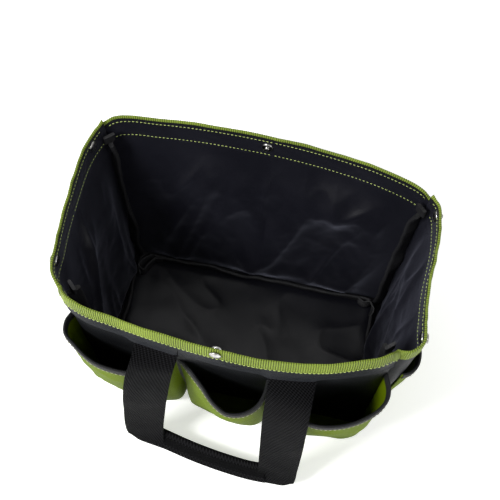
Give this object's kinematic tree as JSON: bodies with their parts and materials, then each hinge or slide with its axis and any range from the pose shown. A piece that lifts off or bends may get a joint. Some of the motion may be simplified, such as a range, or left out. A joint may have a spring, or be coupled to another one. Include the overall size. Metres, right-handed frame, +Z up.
{
  "type": "garden tool bag",
  "caption": "Open-topped fabric tote for garden hand tools, with outside pockets all round, a bound rim with snaps and a webbing handle on each long side.",
  "frame": {"origin": "centre of the underside of the bottom, on the surface the bag stands on", "axes": "+X along the bag, +Y from front to back, +Z up"},
  "size_m": [0.3424, 0.2714, 0.2149],
  "materials": {
    "wall_cloth": "matte woven polyester",
    "facing_cloth": "matte woven polyester, slate grey",
    "lining": "smooth coated nylon, soft sheen",
    "pocket_cloth": "woven polyester, leaf green",
    "rim_ribbon": "ribbed ribbon, light green",
    "pocket_binding": "ribbed tape, dark grey",
    "twill_tape": "twill tape, black",
    "webbing": "woven polypropylene webbing, black",
    "board": "plain sheet",
    "snap_metal": "bright nickel plate"
  },
  "bodies": {
    "bottom": {"bottom_panel": "wall_cloth", "base_board": "board", "base_lining": "lining", "base_seam_tape": "twill_tape"},
    "front_wall": {"front_panel": "wall_cloth", "front_lining": "lining", "front_top_band": "facing_cloth", "front_rim_binding": "rim_ribbon", "front_pocket_left": "pocket_cloth", "front_pocket_centre": "pocket_cloth", "front_pocket_right": "pocket_cloth", "front_pocket_bindings": "pocket_binding", "front_corner_tapes": "twill_tape", "front_handle_anchors": "webbing"},
    "front_middle": {"front_snap_cap": "snap_metal", "front_snap_socket": "snap_metal"},
    "front_grip": {"front_handle": "webbing"},
    "back_wall": {"back_panel": "wall_cloth", "back_lining": "lining", "back_top_band": "facing_cloth", "back_rim_binding": "rim_ribbon", "back_pocket_left": "pocket_cloth", "back_pocket_centre": "pocket_cloth", "back_pocket_right": "pocket_cloth", "back_pocket_bindings": "pocket_binding", "back_corner_tapes": "twill_tape", "back_handle_anchors": "webbing"},
    "back_middle": {"back_snap_cap": "snap_metal", "back_snap_stud": "snap_metal"},
    "back_grip": {"back_handle": "webbing"},
    "left_end_front": {"left_end_panel_front": "wall_cloth", "left_end_lining_front": "lining", "left_rim_binding_front": "rim_ribbon", "left_pocket_front": "pocket_cloth", "left_pocket_binding_front": "pocket_binding", "left_snap_cap_front": "snap_metal", "left_snap_socket_front": "snap_metal"},
    "left_end_back": {"left_end_panel_back": "wall_cloth", "left_end_lining_back": "lining", "left_rim_binding_back": "rim_ribbon", "left_pocket_back": "pocket_cloth", "left_pocket_binding_back": "pocket_binding", "left_snap_cap_back": "snap_metal", "left_snap_stud_back": "snap_metal"},
    "right_end_front": {"right_end_panel_front": "wall_cloth", "right_end_lining_front": "lining", "right_rim_binding_front": "rim_ribbon", "right_pocket_front": "pocket_cloth", "right_pocket_binding_front": "pocket_binding", "right_snap_cap_front": "snap_metal", "right_snap_socket_front": "snap_metal"},
    "right_end_back": {"right_end_panel_back": "wall_cloth", "right_end_lining_back": "lining", "right_rim_binding_back": "rim_ribbon", "right_pocket_back": "pocket_cloth", "right_pocket_binding_back": "pocket_binding", "right_snap_cap_back": "snap_metal", "right_snap_stud_back": "snap_metal"}
  },
  "joints": [
    {"name": "mouth_close", "type": "hinge", "parent": "bottom", "child": "front_wall", "pos_m": [0, -0.07112, 0.002], "axis": [-1, 0, 0], "range_deg": [0, 20.57]},
    {"name": "front_middle_flatten", "type": "hinge", "parent": "front_wall", "child": "front_middle", "pos_m": [0, -0.07112, 0.002], "axis": [-1, 0, 0], "range_deg": [0, 11.35], "deforming": ["front_panel", "front_lining", "front_top_band", "front_rim_binding", "front_pocket_left", "front_pocket_centre", "front_pocket_right", "front_pocket_bindings", "front_corner_tapes", "front_handle_anchors"]},
    {"name": "front_handle_swing", "type": "hinge", "parent": "front_middle", "child": "front_grip", "pos_m": [0, -0.11146, 0.179], "axis": [-1, 0, 0], "range_deg": [0, 132], "deforming": ["front_handle"]},
    {"name": "back_wall_lean", "type": "hinge", "parent": "bottom", "child": "back_wall", "pos_m": [0, 0.07112, 0.002], "axis": [1, 0, 0], "range_deg": [0, 21.27]},
    {"name": "back_middle_flatten", "type": "hinge", "parent": "back_wall", "child": "back_middle", "pos_m": [0, 0.07112, 0.002], "axis": [1, 0, 0], "range_deg": [0, 8.69], "deforming": ["back_panel", "back_lining", "back_top_band", "back_rim_binding", "back_pocket_left", "back_pocket_centre", "back_pocket_right", "back_pocket_bindings", "back_corner_tapes", "back_handle_anchors"]},
    {"name": "back_handle_swing", "type": "hinge", "parent": "back_middle", "child": "back_grip", "pos_m": [0, 0.1029, 0.179], "axis": [1, 0, 0], "range_deg": [0, 132], "deforming": ["back_handle"]},
    {"name": "left_end_fold_front", "type": "hinge", "parent": "bottom", "child": "left_end_front", "pos_m": [-0.1362, -0.07112, 0.002], "axis": [-0.0962, -0.1197, -0.9881], "range_deg": [0, 87.33], "deforming": ["left_end_panel_front", "left_end_lining_front", "left_rim_binding_front", "left_pocket_front", "left_pocket_binding_front"]},
    {"name": "left_end_fold_back", "type": "hinge", "parent": "bottom", "child": "left_end_back", "pos_m": [-0.1362, 0.07112, 0.002], "axis": [0.0962, -0.1197, 0.9881], "range_deg": [0, 87.33], "deforming": ["left_end_panel_back", "left_end_lining_back", "left_rim_binding_back", "left_pocket_back", "left_pocket_binding_back"]},
    {"name": "right_end_fold_front", "type": "hinge", "parent": "bottom", "child": "right_end_front", "pos_m": [0.1362, -0.07112, 0.002], "axis": [-0.0962, 0.1197, 0.9881], "range_deg": [0, 87.33], "deforming": ["right_end_panel_front", "right_end_lining_front", "right_rim_binding_front", "right_pocket_front", "right_pocket_binding_front"]},
    {"name": "right_end_fold_back", "type": "hinge", "parent": "bottom", "child": "right_end_back", "pos_m": [0.1362, 0.07112, 0.002], "axis": [0.0962, 0.1197, -0.9881], "range_deg": [0, 87.33], "deforming": ["right_end_panel_back", "right_end_lining_back", "right_rim_binding_back", "right_pocket_back", "right_pocket_binding_back"]}
  ],
  "couplings": [
    {"joint": "front_middle_flatten", "follows": "mouth_close", "ratio": 0.5323},
    {"joint": "back_wall_lean", "follows": "mouth_close", "ratio": 1},
    {"joint": "back_middle_flatten", "follows": "mouth_close", "ratio": 0.404},
    {"joint": "left_end_fold_front", "follows": "mouth_close", "ratio": 4.1575},
    {"joint": "left_end_fold_back", "follows": "mouth_close", "ratio": 4.1575},
    {"joint": "right_end_fold_front", "follows": "mouth_close", "ratio": 4.1575},
    {"joint": "right_end_fold_back", "follows": "mouth_close", "ratio": 4.1575}
  ]
}
